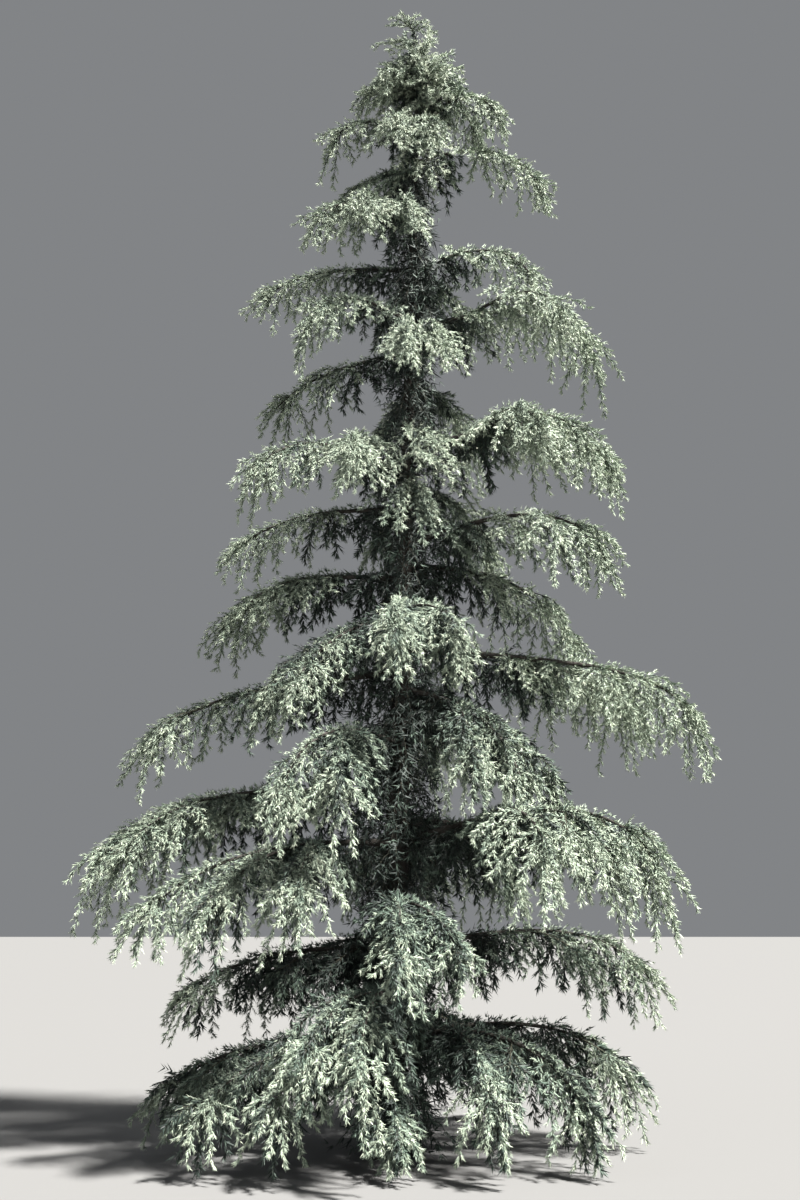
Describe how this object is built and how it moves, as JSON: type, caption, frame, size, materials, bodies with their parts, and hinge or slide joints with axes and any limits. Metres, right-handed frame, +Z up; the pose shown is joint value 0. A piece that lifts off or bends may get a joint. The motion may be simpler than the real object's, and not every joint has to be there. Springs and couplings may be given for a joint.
{
  "type": "deodar cedar",
  "caption": "Weeping deodar cedar: a tapering trunk with a flared foot under tiers of arching boughs that carry hanging blue-green foliage",
  "frame": {"origin": "middle of the flat cut under the trunk, on the ground", "axes": "+Z up along the trunk, +X to the right in the picture, -Y towards the viewer of the picture"},
  "size_m": [4.6287, 3.4509, 8.708],
  "materials": {
    "bark": "rough grey-brown bark",
    "needles": "blue-green needles with a pale bloom, matt"
  },
  "bodies": {
    "root": {"trunk": "bark", "bough_arch_front_right": "bark", "bough_hem_right": "bark", "bough_long_front_left": "bark", "bough_long_left": "bark", "bough_long_right": "bark", "bough_skirt_front_left": "bark", "bough_skirt_front_right": "bark", "bough_skirt_left": "bark", "bough_skirt_right": "bark", "bough_wide_back": "bark", "bough_wide_front_left": "bark", "bough_wide_left": "bark", "bough_wide_right": "bark", "foliage_arch_back": "needles", "foliage_arch_front_left": "needles", "foliage_arch_front_right": "needles", "foliage_arch_left": "needles", "foliage_arch_right": "needles", "foliage_front_right": "needles", "foliage_hem_back": "needles", "foliage_hem_front": "needles", "foliage_hem_left": "needles", "foliage_hem_right": "needles", "foliage_high_back": "needles", "foliage_high_back_right": "needles", "foliage_high_front": "needles", "foliage_high_front_left": "needles", "foliage_high_left": "needles", "foliage_long_back": "needles", "foliage_long_front_left": "needles", "foliage_long_left": "needles", "foliage_long_right": "needles", "foliage_nodding_top": "needles", "foliage_skirt_back": "needles", "foliage_skirt_front": "needles", "foliage_skirt_front_left": "needles", "foliage_skirt_front_right": "needles", "foliage_skirt_left": "needles", "foliage_skirt_right": "needles", "foliage_sweep_back": "needles", "foliage_sweep_front": "needles", "foliage_sweep_front_left": "needles", "foliage_sweep_left": "needles", "foliage_sweep_right": "needles", "foliage_tip_back": "needles", "foliage_tip_front": "needles", "foliage_tip_left": "needles", "foliage_tip_right": "needles", "foliage_top_left": "needles", "foliage_top_right": "needles", "foliage_upper_back": "needles", "foliage_upper_front": "needles", "foliage_upper_left": "needles", "foliage_upper_right": "needles", "foliage_wide_back": "needles", "foliage_wide_front": "needles", "foliage_wide_front_left": "needles", "foliage_wide_left": "needles", "foliage_wide_right": "needles"}
  },
  "joints": []
}
